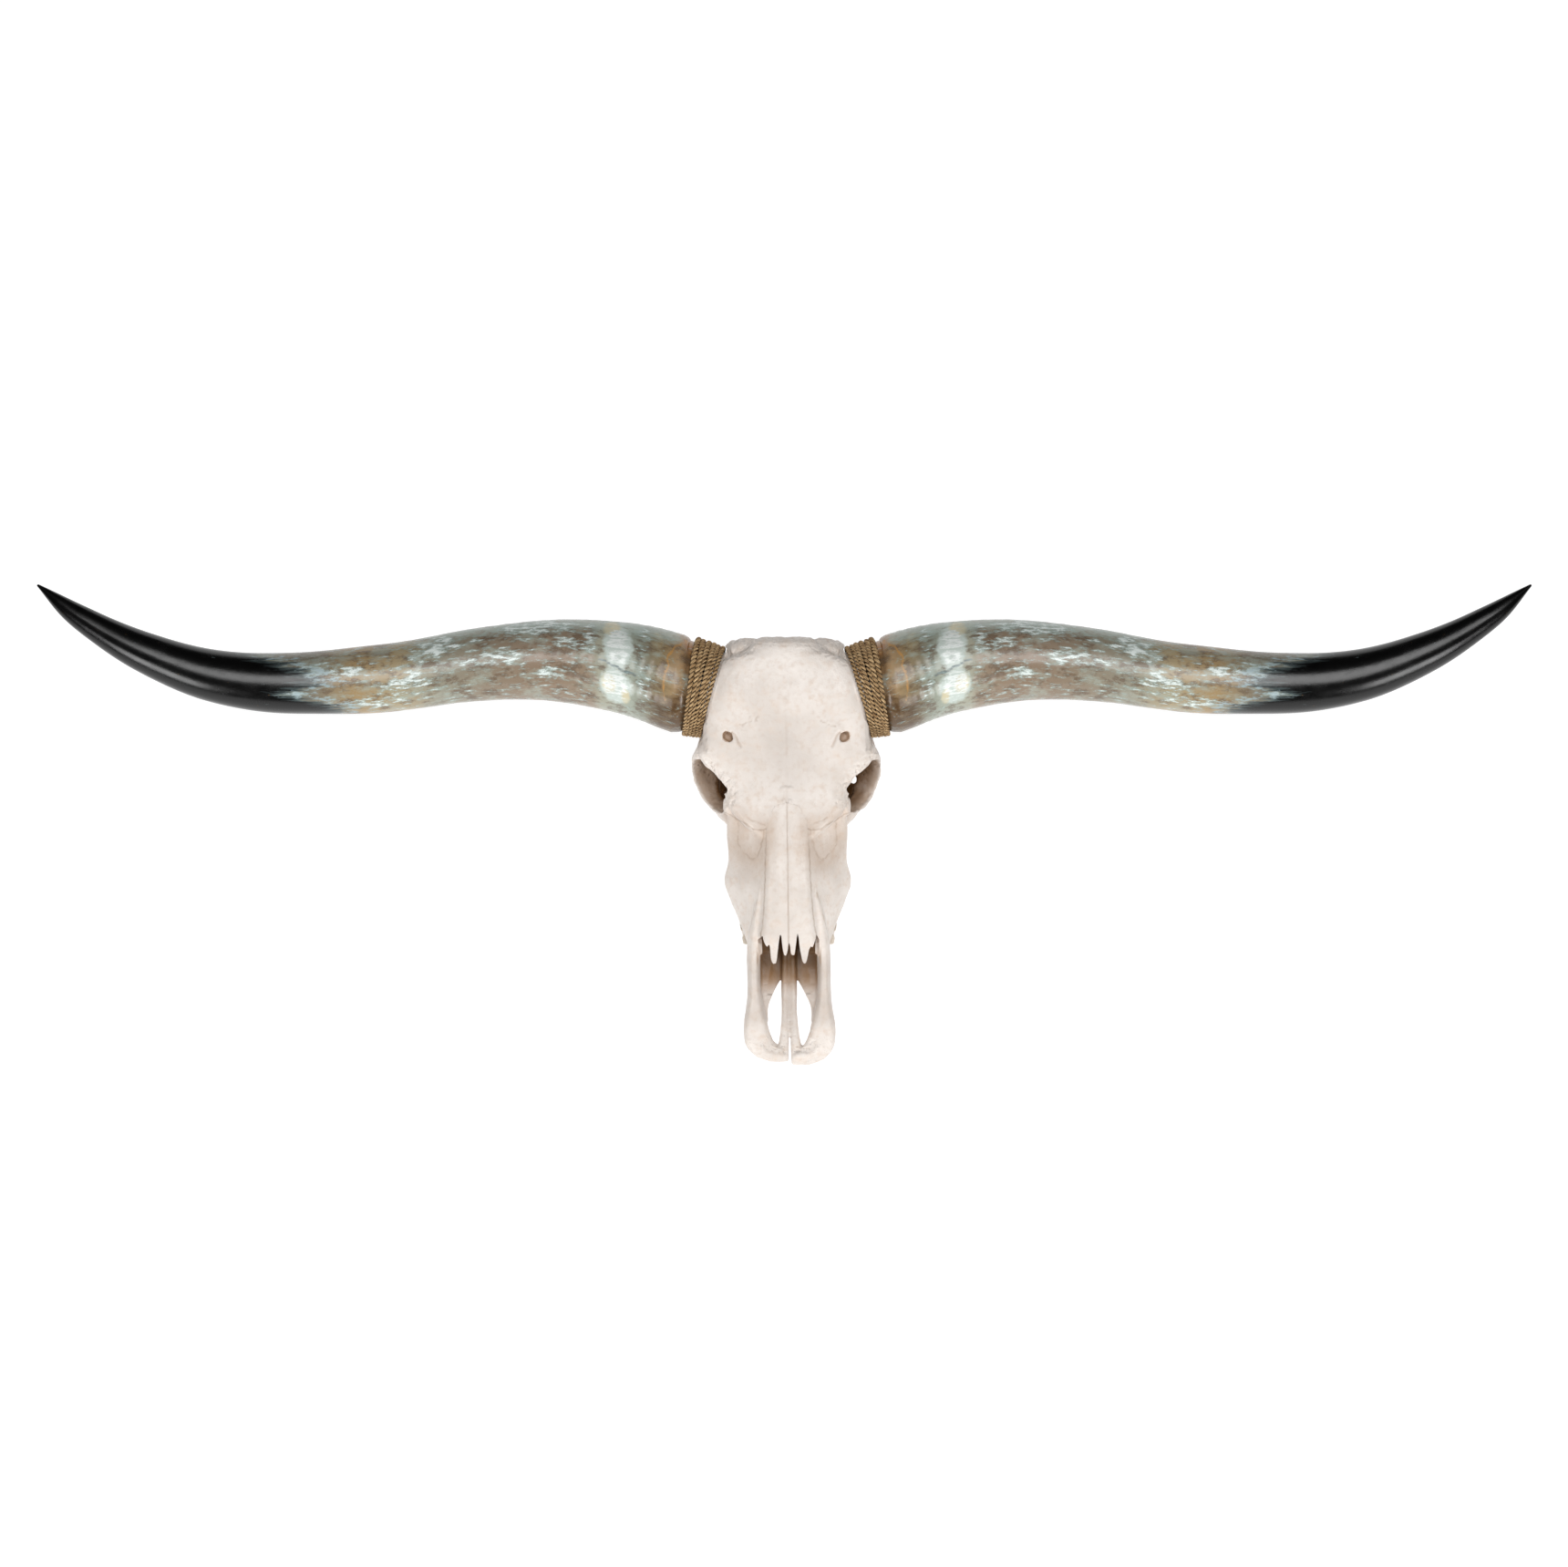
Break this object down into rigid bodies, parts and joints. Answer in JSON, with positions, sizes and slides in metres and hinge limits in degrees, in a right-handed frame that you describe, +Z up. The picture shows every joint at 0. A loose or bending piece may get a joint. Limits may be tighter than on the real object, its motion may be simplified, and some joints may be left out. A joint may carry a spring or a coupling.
{
  "type": "longhorn steer skull",
  "caption": "Life-size skull of a longhorn steer without the lower jaw: cleaned bone with cheek teeth, long sweeping polished horns, and rope wound over the foot of each horn.",
  "frame": {"origin": "centre of the footprint, at the level of the surface that the skull rests on", "axes": "+X to the right horn as seen in the picture, +Y from the nose to the poll, +Z up"},
  "size_m": [1.7578, 0.5298, 0.254],
  "materials": {
    "bone": "cleaned bone, off-white with a slight gloss",
    "horn": "polished horn, ochre and grey-brown, black towards the tip",
    "rope": "twisted natural fibre"
  },
  "bodies": {
    "root": {"cranium": "bone", "upper_jaw_left": "bone", "upper_jaw_right": "bone", "nasal_bone_left": "bone", "nasal_bone_right": "bone", "premaxilla_left": "bone", "premaxilla_right": "bone", "horn_left": "horn", "horn_right": "horn", "rope_wrap_left": "rope", "rope_wrap_right": "rope"}
  },
  "joints": []
}
